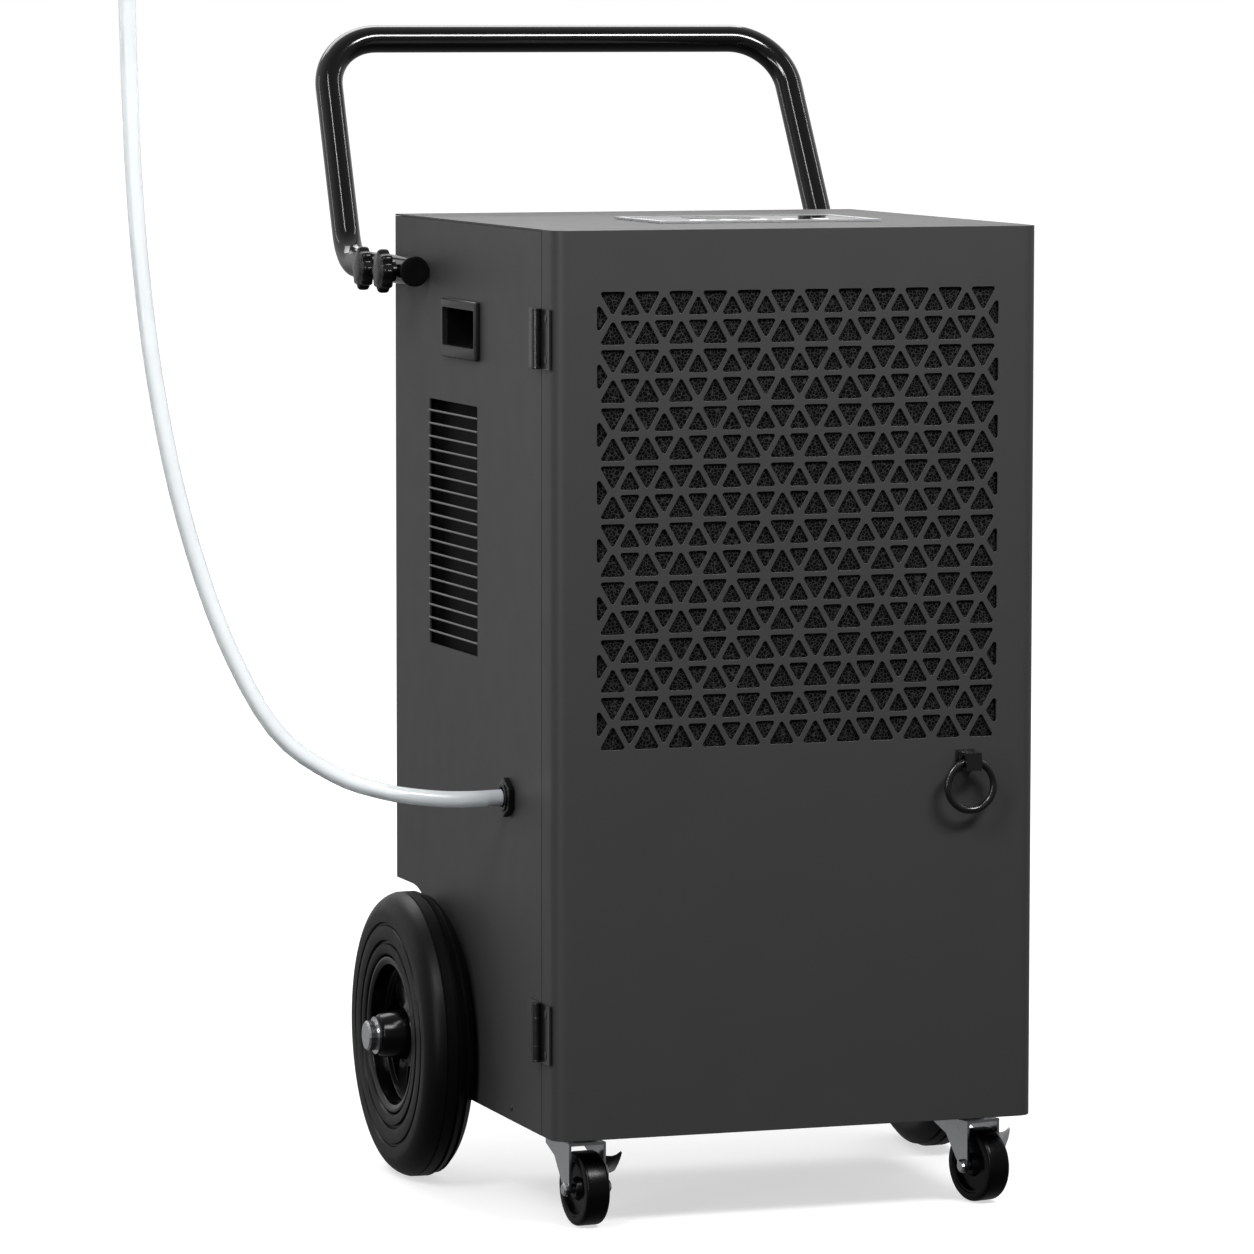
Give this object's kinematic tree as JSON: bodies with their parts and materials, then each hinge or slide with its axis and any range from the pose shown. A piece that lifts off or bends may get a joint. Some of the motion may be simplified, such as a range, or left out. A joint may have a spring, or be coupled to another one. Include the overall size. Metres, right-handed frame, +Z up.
{
  "type": "portable dehumidifier",
  "caption": "Upright commercial pump dehumidifier: charcoal steel cabinet with a hinged grille door, push handle, rear wheels, braked swivel castors and a clear drain hose.",
  "frame": {"origin": "on the floor, in the middle of the machine's footprint measured without the drain hose and its end piece", "axes": "+Z up, the grille door faces -Y, the push handle leans towards +Y, +X to the right of someone facing the door"},
  "size_m": [0.8408, 0.6857, 1.0916],
  "materials": {
    "powder_coat": "fine textured charcoal powder coat, satin",
    "black_plastic": "moulded, satin",
    "bezel": "satin silver trim",
    "panel_glass": "polished",
    "clear_pvc": "clear flexible PVC",
    "black_steel": "black plated, satin",
    "fins": "pressed fins",
    "white_plastic": "moulded",
    "compressor_paint": "black enamel",
    "zinc": "bright zinc plated",
    "foam": "open-cell foam",
    "handle_enamel": "gloss black enamel",
    "wheel_rubber": "moulded solid rubber",
    "castor_tread": "moulded hard rubber",
    "rim_plastic": "moulded, glossy"
  },
  "bodies": {
    "cabinet": {"side_panel_left": "powder_coat", "side_panel_right": "powder_coat", "top_panel": "powder_coat", "rear_panel": "powder_coat", "step_panel": "powder_coat", "base_pan": "powder_coat", "front_frame": "powder_coat", "carry_cup_left": "black_plastic", "carry_cup_right": "black_plastic", "control_bezel": "bezel", "control_unit": "panel_glass", "hose_outlet": "black_plastic", "drain_hose": "clear_pvc", "hose_tail": "black_plastic", "lower_hinge_frame_leaf": "black_steel", "upper_hinge_frame_leaf": "black_steel", "lower_hinge_pin": "black_steel", "upper_hinge_pin": "black_steel", "evaporator": "fins", "condenser": "fins", "condensate_tray": "white_plastic", "fan_shroud": "white_plastic", "fan_motor": "black_steel", "compressor": "compressor_paint", "pump_tank": "white_plastic", "drain_pump": "black_plastic", "pump_pipe": "clear_pvc", "power_inlet": "black_plastic", "castor_plate_left": "zinc", "castor_plate_right": "zinc", "rear_axle": "zinc", "axle_nut_left": "zinc", "axle_nut_right": "zinc"},
    "door": {"door_panel": "powder_coat", "filter_frame": "black_plastic", "filter_foam": "foam", "ring_lug": "black_steel", "lower_hinge_door_leaf": "black_steel", "upper_hinge_door_leaf": "black_steel"},
    "pull_ring": {"ring_pull": "black_steel"},
    "handle": {"handle_tube": "handle_enamel", "handle_cap_left": "black_plastic", "handle_cap_right": "black_plastic"},
    "front_knob_left": {"front_knob_left": "black_plastic"},
    "front_knob_right": {"front_knob_right": "black_plastic"},
    "rear_knob_left": {"rear_knob_left": "black_plastic"},
    "rear_knob_right": {"rear_knob_right": "black_plastic"},
    "rear_wheel_left": {"rear_tyre_left": "wheel_rubber", "rear_rim_left": "rim_plastic"},
    "rear_wheel_right": {"rear_tyre_right": "wheel_rubber", "rear_rim_right": "rim_plastic"},
    "castor_left": {"castor_fork_left": "zinc", "castor_bolt_left": "zinc"},
    "castor_right": {"castor_fork_right": "zinc", "castor_bolt_right": "zinc"},
    "castor_wheel_left": {"castor_wheel_left": "castor_tread"},
    "castor_wheel_right": {"castor_wheel_right": "castor_tread"},
    "brake_left": {"castor_brake_left": "zinc"},
    "brake_right": {"castor_brake_right": "zinc"},
    "fan": {"fan_impeller": "black_plastic"}
  },
  "joints": [
    {"name": "door_hinge", "type": "hinge", "parent": "cabinet", "child": "door", "pos_m": [-0.2202, -0.28587, 0.1672], "axis": [0, 0, -1], "range_deg": [0, 110]},
    {"name": "ring_flip", "type": "hinge", "parent": "door", "child": "pull_ring", "pos_m": [0.1505, -0.33547, 0.38726], "axis": [-1, 0, 0], "range_deg": [0, 95]},
    {"name": "handle_tilt", "type": "hinge", "parent": "cabinet", "child": "handle", "pos_m": [0, 0.04213, 0.7917], "axis": [1, 0, 0], "range_deg": [-60, 50]},
    {"name": "front_knob_left_turn", "type": "hinge", "parent": "handle", "child": "front_knob_left", "pos_m": [-0.2479, 0.04213, 0.7917], "axis": [1, 0, 0], "continuous": true},
    {"name": "front_knob_right_turn", "type": "hinge", "parent": "handle", "child": "front_knob_right", "pos_m": [0.2479, 0.04213, 0.7917], "axis": [1, 0, 0], "continuous": true},
    {"name": "rear_knob_left_turn", "type": "hinge", "parent": "handle", "child": "rear_knob_left", "pos_m": [-0.2479, 0.10233, 0.7917], "axis": [1, 0, 0], "continuous": true},
    {"name": "rear_knob_right_turn", "type": "hinge", "parent": "handle", "child": "rear_knob_right", "pos_m": [0.2479, 0.10233, 0.7917], "axis": [1, 0, 0], "continuous": true},
    {"name": "rear_wheel_left_spin", "type": "hinge", "parent": "cabinet", "child": "rear_wheel_left", "pos_m": [-0.2417, -0.00287, 0.125], "axis": [1, 0, 0], "continuous": true},
    {"name": "rear_wheel_right_spin", "type": "hinge", "parent": "cabinet", "child": "rear_wheel_right", "pos_m": [0.2417, -0.00287, 0.125], "axis": [1, 0, 0], "continuous": true},
    {"name": "castor_left_swivel", "type": "hinge", "parent": "cabinet", "child": "castor_left", "pos_m": [-0.1775, -0.26057, 0.0697], "axis": [0, 0, 1], "continuous": true},
    {"name": "castor_left_roll", "type": "hinge", "parent": "castor_left", "child": "castor_wheel_left", "pos_m": [-0.17583, -0.2805, 0.0315], "axis": [0.9965, 0.0837, 0], "continuous": true},
    {"name": "brake_left_pedal", "type": "hinge", "parent": "castor_left", "child": "brake_left", "pos_m": [-0.17583, -0.2805, 0.0315], "axis": [0.9965, 0.0837, 0], "range_deg": [0, 22]},
    {"name": "castor_right_swivel", "type": "hinge", "parent": "cabinet", "child": "castor_right", "pos_m": [0.1775, -0.26057, 0.0697], "axis": [0, 0, 1], "continuous": true},
    {"name": "castor_right_roll", "type": "hinge", "parent": "castor_right", "child": "castor_wheel_right", "pos_m": [0.18234, -0.27998, 0.0315], "axis": [0.9703, 0.2419, 0], "continuous": true},
    {"name": "brake_right_pedal", "type": "hinge", "parent": "castor_right", "child": "brake_right", "pos_m": [0.18234, -0.27998, 0.0315], "axis": [0.9703, 0.2419, 0], "range_deg": [0, 22]},
    {"name": "fan_spin", "type": "hinge", "parent": "cabinet", "child": "fan", "pos_m": [0, -0.18262, 0.5937], "axis": [0, 1, 0], "continuous": true}
  ]
}
